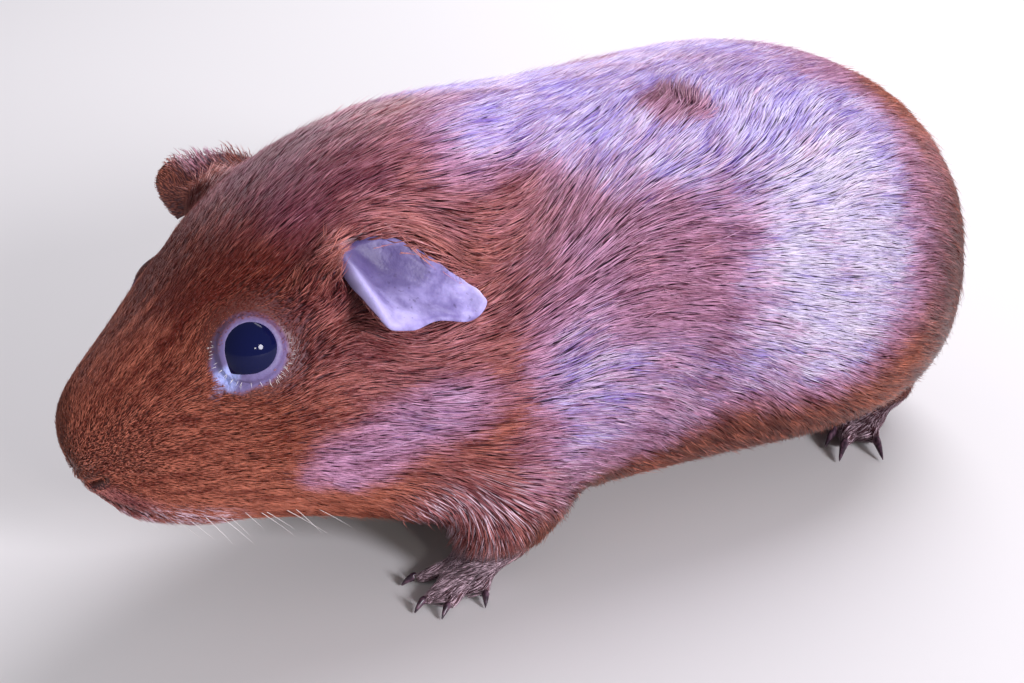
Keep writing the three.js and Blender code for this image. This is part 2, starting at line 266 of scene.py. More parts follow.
def coat_depth(points):
    """How deep the coat is, from skin to tips: less on the face, low down, near the eyes and on the feet."""
    depth = COAT_BODY - COAT_FACE_LESS * face_share(points)
    low_down = 1 - ramp(points[:, 2], 8, 26)
    depth *= 1 - 0.45 * low_down
    depth *= 0.25 + 0.75 * ramp(eye_distance(points), EYE_RADIUS + 1.2, EYE_RADIUS + 6)
    return depth * (1 - foot_share(points)) + COAT_FOOT * foot_share(points)


# ---- Ears ----
# Each ear is a petal from its root on the head to its free rim, and both run from front to back. Its front
# edge is a thick roll. The left ear droops, with its bare hide above; the right one is pricked up, with fur
# above.
EAR_ROOT = [
    (21.5, -69, 72.7), (21.5, -65.9, 74.9), (22.8, -59.8, 75.9), (25.6, -54.3, 73.7), (28.5, -50.6, 70.4),
]
EAR_RIM = {
    "left": [
        (33.7, -66.2, 64.5), (34.9, -64.6, 62.8), (35.9, -60.7, 62.6), (35.9, -55.6, 63.4),
        (36.2, -50.4, 61.9), (36.1, -47, 62), (35.3, -44.9, 63.4), (33.9, -44.8, 65.1), (31.6, -46.6, 67),
    ],
    "right": [
        (27.5, -75.5, 66.5), (31.5, -76.8, 69.6), (34, -76.6, 73.4), (34, -74.6, 76.6),
        (33.2, -70.4, 77), (32, -64, 76.8), (30.4, -57.1, 75.2), (30, -52, 72),
    ],
}
EAR_OUTER = {"left": unit(np.array([0.66, -0.15, 0.74])), "right": unit(np.array([-0.3, 0, 0.95]))}
EAR_SUNK = 9  # how far the root runs on inside the head
EAR_INWARD = unit(np.array([-0.8, 0.05, -0.6]))
EAR_THICK = 1.4  # the petal at its root, without the roll
EAR_ROLL = 2.0  # how much thicker it is along its front edge
EAR_HOLLOW = 2.2  # how far its face dips behind the roll
EAR_OPENING = np.array([26.9, -70.3, 69.2])
# The fold of skin over the root, from front to back.
EAR_HOOD = [
    (22.8, -71.4, 71.5), (21, -67.8, 75.2), (21.5, -62, 78.3), (24, -56, 77), (27.6, -51, 72.8),
    (30.6, -47.4, 68.6),
]
# Where the left ear's hollow meets the head.
EAR_POCKET = [(24, -67, 72.6), (26.5, -65, 71.2), (26.5, -61.5, 72.2), (28, -56.5, 71.5)]


def along_knots(knots, share):
    """Points on a smooth curve through the knots, for shares of its length from 0 to 1."""
    knots = np.array(knots, float)
    knots = np.vstack([2 * knots[0] - knots[1], knots, 2 * knots[-1] - knots[-2]])
    place = np.clip(share, 0, 1) * (len(knots) - 3)
    index = np.minimum(place.astype(int), len(knots) - 4)
    t = (place - index)[:, None]
    a, b, c, d = (knots[index + k] for k in range(4))
    return 0.5 * (2 * b + (c - a) * t + (2 * a - 5 * b + 4 * c - d) * t**2 + (3 * b - a - 3 * c + d) * t**3)


def ear_face(u, v, upper, side_name):
    """Points of an ear's upper or under face: u runs from front to back, and v from inside the head, where it
    is below 0, to 1 at the rim."""
    root, rim = along_knots(EAR_ROOT, u), along_knots(EAR_RIM[side_name], u)
    out = np.maximum(v, 0)[:, None]
    place = root + (rim - root) * out + EAR_INWARD * (np.maximum(-v, 0) * EAR_SUNK)[:, None]
    roll = bell(u, 0.11, 0.11) * (0.5 + 0.5 * ramp(v, 0, 0.3)) * (0.6 + 0.4 * ramp(1 - v, 0, 0.3))
    hollow = EAR_HOLLOW * bell(u, 0.15, 0.36) * bell(v, 0.34, 0.42)
    lip = 0.6 * ramp(v, 0.7, 0.97) * (1 - roll)
    wave = 0.5 * np.sin(u * 9 + 1) * v + 0.22 * np.sin(u * 21 + v * 11) + 0.12 * np.sin(u * 43 - v * 19)
    thickness = EAR_THICK - 0.5 * ramp(v, 0.2, 1) + roll * EAR_ROLL
    edge = np.sqrt(np.clip(1 - np.maximum(0, (v - 0.88) / 0.12) ** 2, 0.06, 1))
    front = np.sqrt(np.clip(1 - np.maximum(0, (0.1 - u) / 0.1) ** 2, 0.05, 1))
    half = thickness * edge * front / 2
    centre = wave * (1 - roll) + lip - hollow + roll * 1.2
    return place + EAR_OUTER[side_name] * (centre + (half if upper else -half))[:, None]


def ear_mesh(side_name):
    """One closed ear, of two grids joined at their rims. Its values: "ear" all over, "hide" on its bare face,
    a painted highlight on its roll and lobe, and painted shade in the hollow behind the roll."""
    across, out = 36, 22
    side = SIDES[side_name]
    bm = bmesh.new()
    ear, hide, painted_highlight, hollow_shade = (bm.verts.layers.float.new(n) for n in ("ear", "hide", "painted_highlight", "hollow_shade"))
    bmesh.ops.create_grid(bm, x_segments=across, y_segments=out, size=1)
    faces = {True: bm.faces[:]}
    made = bmesh.ops.duplicate(bm, geom=bm.verts[:] + bm.edges[:] + bm.faces[:])["geom"]
    faces[False] = [f for f in made if isinstance(f, bmesh.types.BMFace)]
    rims = [e for e in bm.edges if e.is_boundary]
    for upper in (True, False):
        verts = list({v for f in faces[upper] for v in f.verts})
        u = np.array([v.co.x * 0.5 + 0.5 for v in verts])
        v = np.array([v.co.y for v in verts]) * 0.65 + 0.35
        bare_face = upper == (side_name == "left")
        bare = ramp(v, 0.93, 1.0) * (side_name == "left")
        if bare_face:
            bare = ramp(v, -0.5, -0.4) if side_name == "left" else ramp(v, -0.05, 0.05) * ramp(u, 0.14, 0.22)
        # A painted highlight on the roll and the lobe, and painted shade in the hollow behind the roll.
        ridge = 0.7 * bell(u, 0.09, 0.08) * ramp(v, 0.1, 0.4)
        light = np.maximum(ridge, ramp(u, 0.6, 0.9) * ramp(v, 0.45, 0.9))
        deep_shade = bell(u, 0.16, 0.36) * bell(v, 0.4, 0.2)
        for vert, place, *values in zip(verts, ear_face(u, v, upper, side_name), bare, light, deep_shade):
            vert.co = Vector(mirrored(place, side) * MM)
            vert[ear] = 1
            vert[hide], vert[painted_highlight], vert[hollow_shade] = (float(value) for value in values)
    bmesh.ops.bridge_loops(bm, edges=rims)
    bmesh.ops.recalc_face_normals(bm, faces=bm.faces)
    mesh = bpy.data.meshes.new("ear")
    bm.to_mesh(mesh)
    bm.free()
    return mesh


def joined_with(skin_mesh, others):
    """One closed mesh of the skin and the others, with their values kept."""
    whole = piece_of("whole", skin_mesh)
    helpers = []
    for other in others:
        helper = piece_of("helper", other)
        cut = whole.modifiers.new("join", "BOOLEAN")
        cut.operation, cut.solver, cut.object = "UNION", "MANIFOLD", helper
        helpers.append(helper)
    mesh = finished_mesh(whole, "skin")
    for helper in helpers:
        bpy.data.objects.remove(helper)
    return mesh


# ---- The face ----
FACE_LINES = {
    "nostril": [(3.9, -110.2, 32.2), (5.8, -109.7, 33.0), (7.2, -109, 34.3)],
    "mouth": [(0, -109.5, 29.6), (4, -108, 28), (7.5, -104.5, 26.4), (10.5, -100, 25.6)],
    "cheek fold": [(10.5, -104.5, 36), (13, -101, 35), (16.5, -95, 34.5)],
    "cleft": [(0, -112.8, 35.5), (0, -111.5, 32), (0, -109.5, 29.6)],
}
# How the skin moves out (or in, below 0) along them: how far, over what width, and how far off the line.
FACE_CARVING = [
    ("nostril", -1.7, 0.55, 0), ("nostril", 0.55, 0.7, 1.5), ("cleft", -0.6, 0.6, 0),
    ("mouth", -1.2, 0.7, 0), ("mouth", 0.4, 1.0, 1.9), ("cheek fold", -0.5, 1.3, 0),
]
LID_OPENING, LID_CREST, LID_END = 49, 58, 92  # degrees round the eyeball, from its axis
LID_TUCK = 1.3  # how far the skin is sunk under the eyeball
LID_EDGE = 0.2  # how far it stands off at the opening
LID_HEIGHT = 0.62  # and at its crest
CORNER_DRAW = 21  # degrees by which the front corner is drawn out


def line_distance(points, knots):
    """How far points are from a smooth line through knots, on whichever side of the animal they are."""
    line = along_knots(knots, np.linspace(0, 1, 25))
    return np.min([np.linalg.norm(folded(points) - p, axis=1) for p in line], axis=0)


def eye_angles(points, side_name):
    """Of each point, the angle in degrees between it and the eyeball's axis, its distance from the eyeball's
    middle, and how much it lies towards the front corner, from -1 to 1."""
    side = SIDES[side_name]
    away = points - EYES[side_name]
    distance = np.linalg.norm(away, axis=1)
    axis = mirrored(EYE_AXIS, side)
    angle = np.degrees(np.arccos(np.clip(away @ axis / np.maximum(distance, 1e-6), -1, 1)))
    corner = unit(mirrored([0.15, -0.75, -0.6], side))
    corner = unit(corner - axis * (corner @ axis))
    towards = unit(away - np.outer(away @ axis, axis)) @ corner
    return angle, distance, towards


def shape_lids(points):
    """Pushes the skin under the eyeball and raises a round lid at its edge, drawn out at the front corner."""
    for side_name in SIDES:
        angle, distance, towards = eye_angles(points, side_name)
        off_corner = np.degrees(np.arccos(np.clip(towards, -1, 1)))
        angle = angle - CORNER_DRAW * np.exp(-off_corner / 17) * (angle < 90)
        rise = (LID_TUCK + LID_EDGE) * ramp(angle, LID_OPENING - 8, LID_OPENING)
        under = EYE_RADIUS - LID_TUCK + rise
        crest = under + (LID_HEIGHT - LID_EDGE) * ramp(angle, LID_OPENING - 1, LID_CREST - 2)
        crest = crest - 0.12 * ramp(angle, LID_CREST, LID_CREST + 12)
        crest = crest + 0.07 * ripple(points, 1.3, 5) * ramp(angle, LID_OPENING, LID_CREST)
        wanted = crest + (distance - crest) * ramp(angle, LID_CREST + 2, LID_END)
        near = (distance < EYE_RADIUS + 6) & (angle < LID_END)
        scale = np.where(near, wanted / np.maximum(distance, 1e-6), 1)
        points = EYES[side_name] + (points - EYES[side_name]) * scale[:, None]
    return points


def shape_ear_roots(points, normals):
    """Raises the fold of skin that hoods each ear's root, and sinks the ear's opening and the left pocket."""
    opening = bell(np.linalg.norm(folded(points) - EAR_OPENING, axis=1), 2.1)
    pocket = bell(line_distance(points, EAR_POCKET), 2.6) * (points[:, 0] > 0)
    hood = bell(line_distance(points, EAR_HOOD), 2.8)
    push = 2.3 * hood * (1 - pocket) - 3.4 * opening - 2.4 * pocket
    return points + normals * push[:, None]


def snapped(knots, points):
    """The knots moved to the nearest of the skin's points."""
    return [tuple(points[np.argmin(np.linalg.norm(points - knot, axis=1))]) for knot in np.array(knots)]


def shape_muzzle(points, normals):
    """Carves the nostrils with their wings, the cleft of the lip, the mouth and a fold of the cheek."""
    push = np.zeros(len(points))
    for line, out, width, off_line in FACE_CARVING:
        push += out * bell(line_distance(points, FACE_LINES[line]), width, off_line)
    return points + normals * push[:, None]


mesh = closed_flesh()
points = read_points(mesh)
# The edges of the solids are smoothed away, least on the feet, on the face and round the eyes.
gentle = np.clip(0.5 - 0.42 * foot_share(points) - 0.25 * face_share(points), 0.04, 0.5)
gentle[eye_distance(points) < EYE_RADIUS + 1.5] = 0.1
relax(mesh, gentle, 22)
divide_where(mesh, lambda p: (foot_share(p) > 0.4) | (p[:, 1] < NOSE_TIP + 15) | (eye_distance(p) < 11.5))
divide_where(mesh, lambda p: (eye_distance(p) < 8.8) | ((p[:, 1] < NOSE_TIP + 10) & (p[:, 2] < 40)))
relax(mesh, np.full(len(mesh.vertices), 0.3), 3)
points, normals = read_points(mesh), read_normals(mesh)
points -= normals * coat_depth(points)[:, None]
points = shape_lids(points)
write_points(mesh, points)
FACE_LINES = {name: snapped(knots, points) for name, knots in FACE_LINES.items()}
EAR_HOOD = snapped(EAR_HOOD, points)
write_points(mesh, shape_muzzle(points, read_normals(mesh)))
write_points(mesh, shape_ear_roots(read_points(mesh), read_normals(mesh)))
relax(mesh, np.where(eye_distance(read_points(mesh)) < 11, 0.3, 0.15), 2)
for label in ("ear", "hide", "painted_highlight", "hollow_shade"):
    keep_value(mesh, label, np.zeros(len(mesh.vertices)))
mesh = joined_with(mesh, [ear_mesh(side_name) for side_name in SIDES])

# ---- The lie and the markings of the coat, with its painted sheen and shade ----
EAR_MIDDLE = np.array([27.0, -60, 68])
EYE_RING = 7.0  # from the eyeball's middle to where the coat starts
RING_LESS_ABOVE = {"left": 0.3, "right": 0.9}  # by how much it is narrower above
WHORL = np.array([21, 16, 88.0])
MUZZLE_PAD = np.array([9.5, -106.5, 40])
# Where the hair is longer, stands off and is pale: middle, spread, how much longer, how far off and how many
# are pale. They are alike on both sides, but for those of the right ear.
FRINGES = {
    "breast": ((31, -48, 19), (17, 19, 12), 3.5, 1.3, 0.9),
    "outside of the foreleg": ((38, -32, 23), (12, 18, 8), 1.8, 0.7, 0.4),
    "lower flank": ((42, 8, 16), (14, 40, 8), 3, 0.9, 0.15),
    "hood of the ear": ((25, -58, 77), (6, 11, 6), 4, 1.5, 0.1),
    "rim of the right ear": ((-30, -64, 78), (10, 14, 5), 3.5, 2.4, 0.6),
    "front of the ear": ((22.5, -71, 72), (5, 4, 5), 3.5, 2.0, 0.1),
    "lips and chin": ((8, -99, 24), (12, 19, 6), 2.2, 1.1, 1.0),
}
TOES_FORWARD = unit(np.array([0.0, -1, -0.35]))


def near(points, centre, radii, core=0.5):
    """1 in the core of an ellipsoid, falling smoothly to 0 at its edge."""
    away = np.linalg.norm((points - np.asarray(centre)) / np.asarray(radii), axis=1)
    return 1 - ramp(away, core, 1)


def leg_share(points):
    """1 on the legs, 0 on the trunk."""
    apart = np.min([outside_box(points, n, -2) for n in LEG_NODES + FOOT_NODES], axis=0)
    return (1 - ramp(apart, 0, 3)) * (1 - ramp(points[:, 2], 10, 26))


def round_obstacle(points, way, centre, radius, strength):
    """Bends the lie of the hair round something, as a stream flows round a stone."""
    away = points - centre
    distance = np.linalg.norm(away, axis=1, keepdims=True)
    outward = away / np.maximum(distance, 1e-6)
    turn = (radius / np.maximum(distance, radius)) ** 2 * strength
    along = (way * outward).sum(axis=1, keepdims=True)
    return way - turn * (2 * along * outward - way) * (distance < radius * 4)


# Places where the hair turns from its plain lie, alike on both sides: middle, spread, and degrees upwards.
TURNS = {
    "side of the back": ((24, 2, 86), (16, 26, 14), 28),
    "below the parting": ((27, 24, 85), (13, 16, 10), 30),
    "top of the loin": ((33, 40, 80), (14, 18, 14), 26),
    "upper ribs, front": ((31, -20, 76), (14, 14, 14), 34),
    "neck behind the ear": ((32, -34, 66), (14, 15, 20), 40),
    "shoulder": ((37, -26, 46), (12, 18, 16), 14),
    "cheek under the ear": ((29, -63, 52), (13, 15, 11), -14),
    "front of the shoulder": ((36, -42, 30), (12, 11, 13), 10),
    "lower flank": ((42, 8, 32), (16, 36, 15), -14),
    "edge of the belly": ((42, 22, 20), (16, 36, 10), -18),
    "breast": ((28, -50, 18), (14, 16, 10), -38),
    "hood of the ear": ((25, -57, 77), (8, 11, 7), -34),
}


def hair_lie(points, normals, ear):
    """The direction in which the hair lies on the skin."""
    side = np.sign(points[:, 0] + 1e-6)
    from_nose = unit(points - [0, NOSE_TIP - 3, 33])
    body = unit(np.column_stack([side * 0.02, np.ones(len(points)), -0.22 * np.ones(len(points))]))
    head = (1 - ramp(points[:, 1], NOSE_TIP + 35, NOSE_TIP + 75))[:, None]
    way = from_nose * head + body * (1 - head)
    rump = ramp(points[:, 1], 60, 108)[:, None]
    way = way * (1 - rump) + unit(np.array([0, 0.35, -0.95])) * rump
    down = leg_share(points)[:, None]
    way = way * (1 - down) + unit(np.array([0, 0.25, -1])) * down
    feet = foot_share(points)[:, None]
    way = unit(way * (1 - feet) + TOES_FORWARD * feet)
    for name, flip in SIDES.items():
        way = round_obstacle(points, way, EYES[name], 6.5, 0.8)
        way = round_obstacle(points, way, mirrored(EAR_MIDDLE, flip), 11, 0.6)
    apart = folded(points) - WHORL
    parting = bell(np.linalg.norm(apart, axis=1), 7)[:, None]
    away = unit(apart * np.column_stack([side, np.ones(len(points)), np.zeros(len(points))]))
    way = way + parting * away * 0.8
    outwards = np.column_stack([side, 0.1 * np.ones(len(points)), -0.1 * np.ones(len(points))])
    way = way * (1 - ear[:, None]) + outwards * ear[:, None]
    way = way - normals * (way * normals).sum(axis=1, keepdims=True)
    way = unit(way)
    sideways = np.cross(normals, way)
    turn = ripple(points, 17, 3) * 0.07 + ripple(points, 5, 4) * 0.05
    for centre, spread, degrees in TURNS.values():
        apart = np.linalg.norm((folded(points) - centre) / spread, axis=1)
        turn = turn + side * math.radians(degrees) * bell(apart, 1)
    return unit(way * np.cos(turn)[:, None] + sideways * np.sin(turn)[:, None])


# Where the coat is darker or lighter than elsewhere, alike on both sides: middle, spread and how much. Some
# are its own tone,
# and some are painted light and shade: on the back, the loin, the end of the rump, the edge of the belly and
# under the front of the ear.
TONES_AND_PAINTED_LIGHT = {
    "forehead": ((6, -78, 76), (24, 38, 22), -0.5),
    "bridge of the nose": ((4, -102, 56), (16, 22, 16), -0.12),
    "hood of the ear": ((22, -62, 78), (9, 14, 8), 0.3),
    "behind the eye": ((25, -72, 60), (12, 14, 9), -0.22),
    "side of the neck": ((33, -40, 62), (14, 18, 24), 0.06),
    "jaw": ((20, -84, 28), (18, 26, 12), 0.1),
    # Painted shade on the top of the back.
    "back": ((6, 10, 94), (24, 80, 14), -0.16),
    # Painted light on the loin.
    "loin": ((44, 36, 58), (26, 30, 32), 0.36),
    # Painted shade on the end of the rump.
    "end of the rump": ((38, 92, 30), (40, 36, 50), -0.42),
    # Painted shade along the edge of the belly.
    "edge of the belly": ((44, 24, 16), (22, 64, 17), -0.12),
    "front of the ear": ((22.5, -70.5, 72.5), (5, 4, 5), 0.4),
    # Painted shadow under the front of the ear.
    "under the front of the ear": ((27.5, -70.5, 67.5), (4, 4, 5), -0.5),
    "parting": ((19, 12, 88.5), (9, 11, 8), -0.16),
}
# Where silver tips lie thick, with a painted lavender sheen over them, alike on both sides: middle, spread
# and strength.
SILVER_AND_SHEEN_PLACES = {
    "back": ((8, 20, 94), (38, 72, 22), 0.8),
    "loin": ((42, 37, 58), (30, 36, 38), 1.0),
    "hip": ((34, 44, 80), (26, 34, 24), 0.9),
    "side of the back": ((28, 10, 84), (20, 46, 18), 0.75),
    "top of the neck": ((15, -24, 90), (24, 29, 14), 0.85),
    "side of the neck": ((33, -30, 64), (18, 18, 38), 0.14),
    "shoulder": ((38, -28, 40), (14, 18, 25), 0.66),
    "ribs": ((38, -6, 60), (26, 38, 50), 0.42),
    "flank": ((42, -4, 38), (16, 28, 20), 0.42),
    "cheek, front": ((26, -69, 35.5), (12, 15, 9.5), 0.48),
    "cheek, back": ((31, -56, 42), (12, 18, 9.5), 0.5),
    "side of the neck, all over": ((30, -44, 56), (24, 32, 56), 0.07),
    "breast": ((30, -46, 20), (20, 24, 18), 0.14),
    "upper side of the ear": ((32, -64, 75), (6, 14, 5), 0.3),
    "side of the head": ((26, -62, 58), (18, 34, 30), 0.13),
    "rump": ((34, 74, 56), (30, 30, 36), 0.3),
    "lower flank": ((45, 26, 40), (16, 28, 13), 0.6),
    "behind the hood of the ear": ((24, -40, 82), (14, 18, 12), 0.1),
    "nose and lips": ((6, -106, 28), (12, 12, 8), 0.14),
    "brow": ((4, -64, 84), (26, 44, 22), 0.26),
}
# Where it is brown again: middle, spread and strength.
BROWN_PLACES = {
    "parting": ((19, 12, 88.5), (9, 11, 8), 0.55),
    "end of the rump": ((24, 96, 30), (60, 34, 64), 0.85),
    "edge of the belly": ((44, 26, 14), (26, 62, 20), 1.0),
    "front of the cheek": ((25, -86, 38), (16, 10, 20), 1.0),
}


def silver_and_sheen_share(points):
    """How much of the coat is silver-tipped under a painted lavender sheen: the back, the flanks and a patch
    on each cheek, with ragged edges.
    """
    place = folded(points) + ripple(points, 26, 8)[:, None] * [0, 1.5, 1.5]
    place = place + ripple(points, 7, 10)[:, None] * 0.7
    brown = np.ones(len(points))
    for centre, spread, strength in SILVER_AND_SHEEN_PLACES.values():
        brown *= 1 - near(place, centre, spread, 0.35) * strength
    amount = 1 - brown
    for centre, spread, strength in BROWN_PLACES.values():
        amount *= 1 - near(place, centre, spread) * strength
    return np.clip(amount * (0.95 + 0.08 * ripple(points, 9, 9)), 0, 1)


def bare_ring(points):
    """1 on the bare skin round each eye, widest at its front corner and narrowest above."""
    ring = np.zeros(len(points))
    for name in SIDES:
        angle, distance, towards = eye_angles(points, name)
        height = (points - EYES[name])[:, 2] / np.maximum(distance, 1e-6)
        reach = EYE_RING + 1.3 * ramp(towards, 0.7, 1) + 0.2 * ramp(-height, 0, 0.8)
        reach = reach - RING_LESS_ABOVE[name] * ramp(height, 0, 0.8)
        ring = np.maximum(ring, (1 - ramp(distance, reach - 0.5, reach + 0.5)) * (angle < 100))
    return ring


def in_pocket(points):
    """1 on the skin at the bottom of the left ear's hollow."""
    return (1 - ramp(line_distance(points, EAR_POCKET), 3.6, 4.2)) * (points[:, 0] > 0)


def bareness(points, hide):
    """1 where no coat grows: the ears' bare faces and openings, a ring round each eye, the soles, and the
    lines of the nostrils and lips."""
    bare = [ramp(hide, 0.35, 0.6), bare_ring(points), in_pocket(points)]
    for line, end in (("nostril", 1.1), ("cleft", 1.0), ("mouth", 1.0)):
        bare.append(1 - ramp(line_distance(points, FACE_LINES[line]), 0.6, end))
    bare.append(1 - ramp(np.linalg.norm(folded(points) - EAR_OPENING, axis=1), 1.5, 2.4))
    bare.append(foot_share(points) * (1 - ramp(points[:, 2], 0.8, 1.6)))
    return np.max(bare, axis=0)


# ---- What the skin keeps for its colours ----
points, normals = read_points(mesh), read_normals(mesh)
ear, hide, hollow_shade = (kept_value(mesh, label) for label in ("ear", "hide", "hollow_shade"))
depth = coat_depth(points) * (1 - ear) + COAT_EAR * ear
bare = bareness(points, hide)
lie = hair_lie(points, normals, ear)
# How silver-tipped the coat is, with its painted lavender sheen.
keep_value(mesh, "silver_and_sheen", silver_and_sheen_share(points))
keep_value(mesh, "bare", bare)
keep_value(mesh, "hide", np.max([ramp(hide, 0.3, 0.6), bare_ring(points), in_pocket(points)], axis=0))
# Painted shade in the ears' hollows and at the bottom of the left ear's hollow.
keep_value(mesh, "hollow_shade", np.maximum(hollow_shade, 0.7 * in_pocket(points)))
keep_value(mesh, "foot", foot_share(points))
# Painted shade in the nostrils, along the mouth and in the ear openings.
hole_shade = 1.5 * bell(line_distance(points, FACE_LINES["nostril"]), 0.7)
hole_shade += 0.5 * bell(line_distance(points, FACE_LINES["mouth"]), 0.6)
hole_shade += bell(np.linalg.norm(folded(points) - EAR_OPENING, axis=1), 2.2)
keep_value(mesh, "hole_shade", np.clip(hole_shade, 0, 1))
keep_value(mesh, "lid", 1 - ramp(eye_distance(points), 8.5, 10))
# The wet corner of each eye: glossy, and with a painted pale glint in its colour.
wet_and_glint = np.zeros(len(points))
for side_name in SIDES:
    angle, distance, towards = eye_angles(points, side_name)
    wet_and_glint = np.maximum(wet_and_glint, ramp(towards, 0.93, 0.995) * (distance < 9.5) * ramp(angle, 50, 60) * (angle < 110))
keep_value(mesh, "wet_and_glint", wet_and_glint)

# ---- The coat: closed tufts of hair, rooted in the skin and laid along it ----
LOOSE_SHARE = 0.045  # of the tufts, which stand a little off the others
ROOT_SUNK = 0.3  # how deep a tuft starts below the skin
TUFT_MIDDLE = 0.45  # where it bends, as a share of its length
rng = np.random.default_rng(21)
mesh.calc_loop_triangles()
corners = np.empty(len(mesh.loop_triangles) * 3, np.int64)
mesh.loop_triangles.foreach_get("vertices", corners)
corners = corners.reshape(-1, 3)
corner_points = points[corners]
first_side, second_side = (corner_points[:, k] - corner_points[:, 0] for k in (1, 2))
areas = np.linalg.norm(np.cross(first_side, second_side), axis=1) / 2


def tuft_density(points):
    """Tufts to a square millimetre: most where the hair is shortest."""
    face = face_share(points)
    feet = foot_share(points)
    return 3.0 + 4.0 * ramp(face, 0.1, 0.75) + 7 * ramp(face, 0.8, 1) + 7 * feet


middle = corner_points.mean(axis=1)
wanted = areas * tuft_density(middle) * (1 - bare[corners].max(axis=1))
count = np.floor(wanted + rng.random(len(wanted))).astype(int)
chosen = np.repeat(np.arange(len(count)), count)
share = rng.random((len(chosen), 2))
swap = share.sum(axis=1) > 1
share[swap] = 1 - share[swap]
share = np.column_stack([1 - share.sum(axis=1), share])


def at_roots(values):
    """Values of the skin's points, as they are at the roots of the tufts."""
    return (values[corners[chosen]] * share.reshape(share.shape + (1,) * (values.ndim - 1))).sum(axis=1)


roots, root_depth = at_roots(points), at_roots(depth)
root_normals, root_lie = unit(at_roots(normals)), unit(at_roots(lie))
skin_tree = BVHTree.FromPolygons(list(map(Vector, points)), corners.tolist())


def laid_on_skin(places, height):
    """The places moved to the nearest point of the skin, then up by height."""
    out = np.empty_like(places)
    for index, place in enumerate(places):
        hit, normal, _, _ = skin_tree.find_nearest(place)
        out[index] = hit + normal * height[index]
    return out


size = len(roots)
loose = rng.random(size) < LOOSE_SHARE
fringe = np.zeros((3, size))
for centre, spread, *amounts in FRINGES.values():
    place = roots if centre[0] < 0 else folded(roots)
    fringe = np.maximum(fringe, near(place, centre, spread) * np.array(amounts)[:, None])
longer, standing, paler = fringe
feet_here = foot_share(roots)
legs_here = leg_share(roots)
locks = streaks(roots, root_lie, 0.75, 3.0, 14) * (1 - feet_here)
length = root_depth * rng.uniform(2.5, 4.0, size) * (1 - 0.2 * legs_here) + longer * rng.random(size)
length = length * (1 - feet_here) + rng.uniform(3, 6.5, size) * feet_here
stubble = bell(np.linalg.norm(folded(roots) - MUZZLE_PAD, axis=1), 6.5)
tip_height = root_depth * (0.84 + 0.16 * locks + rng.uniform(-0.1, 0.1, size) + 0.5 * loose)
tip_height += root_depth * 0.8 * stubble + standing * rng.random(size)
length *= 1 - 0.3 * stubble
aim = root_lie + rng.normal(0, 1, (size, 3)) * (0.06 + 0.1 * loose + 0.36 * stubble)[:, None]
middles = laid_on_skin(roots + aim * (length * TUFT_MIDDLE)[:, None], tip_height * 0.62)
bend = unit(aim + (middles - roots) / length[:, None] + rng.normal(0, 0.03, (size, 3)))
tips = laid_on_skin(middles + bend * (length * (1 - TUFT_MIDDLE))[:, None], tip_height)
width = (0.026 * length + 0.11) * rng.uniform(0.7, 1.25, size) * (1 - 0.5 * loose) * (1 - 0.25 * feet_here)
sunk = roots - root_normals * ROOT_SUNK

# ---- Materials ----
FACTOR, FIRST, SECOND, MIXED = 0, 6, 7, 2  # the sockets of a Mix node that mixes colours
BLOTCH, SPECK, HORN_CLOUD = 3.5 * MM, 1.1 * MM, 1.2 * MM
PORE = 0.6 * MM  # coarser than real pores, so that they show


def linear(code):
    """An sRGB hex colour as linear red, green, blue and full opacity."""
    parts = [int(code[i:i + 2], 16) / 255 for i in (1, 3, 5)]
    return tuple(c / 12.92 if c <= 0.04045 else ((c + 0.055) / 1.055) ** 2.4 for c in parts) + (1.0,)


def node(tree, kind, output, inputs=None, **settings):
    """Adds a shader node with its settings, feeds its inputs from values or sockets, and gives one output."""
    made = tree.nodes.new("ShaderNode" + kind)
    for name, value in settings.items():
        setattr(made, name, value)
    for name, value in (inputs or {}).items():
        if isinstance(value, bpy.types.NodeSocket):
            tree.links.new(value, made.inputs[name])
        else:
            made.inputs[name].default_value = value
    return made.outputs[output]


def new_material(name):
    material = bpy.data.materials.new(name)
    material.use_nodes = True
    return material, material.node_tree, material.node_tree.nodes["Principled BSDF"]


# Guard hair, smooth keratin with a soft gloss: chestnut shafts, mauve where brown mixes with silver tips and
# their painted sheen, frost where silver tips lie thick under a painted lavender sheen, grizzle on the feet
# and in the pale fringes, and all darker at the root.
HAIR_COLOURS = {  # the darkest and the palest hairs of each colour
    "chestnut": ("#661e10", "#d27d62"),
    "mauve": ("#7a4058", "#eab0d4"),
    "frost": ("#8c70dc", "#f6ecff"),
    "grizzle": ("#4a2733", "#f8dcea"),
}
guard_hair, tree, surface = new_material("guard hair, chestnut, silver tips and painted sheen")
tone, reach, silver_and_sheen, grizzle = (
    node(tree, "Attribute", "Fac", attribute_name=name) for name in ("tone", "reach", "silver_and_sheen", "grizzle")
)
from_root, some_silver_and_sheen, much_silver_and_sheen = (
    node(tree, "MapRange", "Result", {"Value": value, "From Min": low, "From Max": high},
         interpolation_type="SMOOTHSTEP")
    for value, low, high in ((reach, 0.0, 0.9), (silver_and_sheen, 0.0, 0.5), (silver_and_sheen, 0.45, 1.0))
)
hairs = {
    name: node(tree, "Mix", MIXED, {FACTOR: tone, FIRST: linear(darkest), SECOND: linear(palest)},
               data_type="RGBA")
    for name, (darkest, palest) in HAIR_COLOURS.items()
}
shaft = hairs["chestnut"]
for name, amount in (("mauve", some_silver_and_sheen), ("frost", much_silver_and_sheen), ("grizzle", grizzle)):
    shaft = node(tree, "Mix", MIXED, {FACTOR: amount, FIRST: shaft, SECOND: hairs[name]}, data_type="RGBA")
base = node(tree, "Mix", MIXED, {FACTOR: 0.55, FIRST: shaft, SECOND: linear("#3a1a1c")}, data_type="RGBA")
shaft = node(tree, "Mix", MIXED, {FACTOR: from_root, FIRST: base, SECOND: shaft}, data_type="RGBA")
tree.links.new(shaft, surface.inputs["Base Color"])
surface.inputs["Roughness"].default_value = 0.32
surface.inputs["IOR"].default_value = 1.55
surface.inputs["Specular IOR Level"].default_value = 0.38
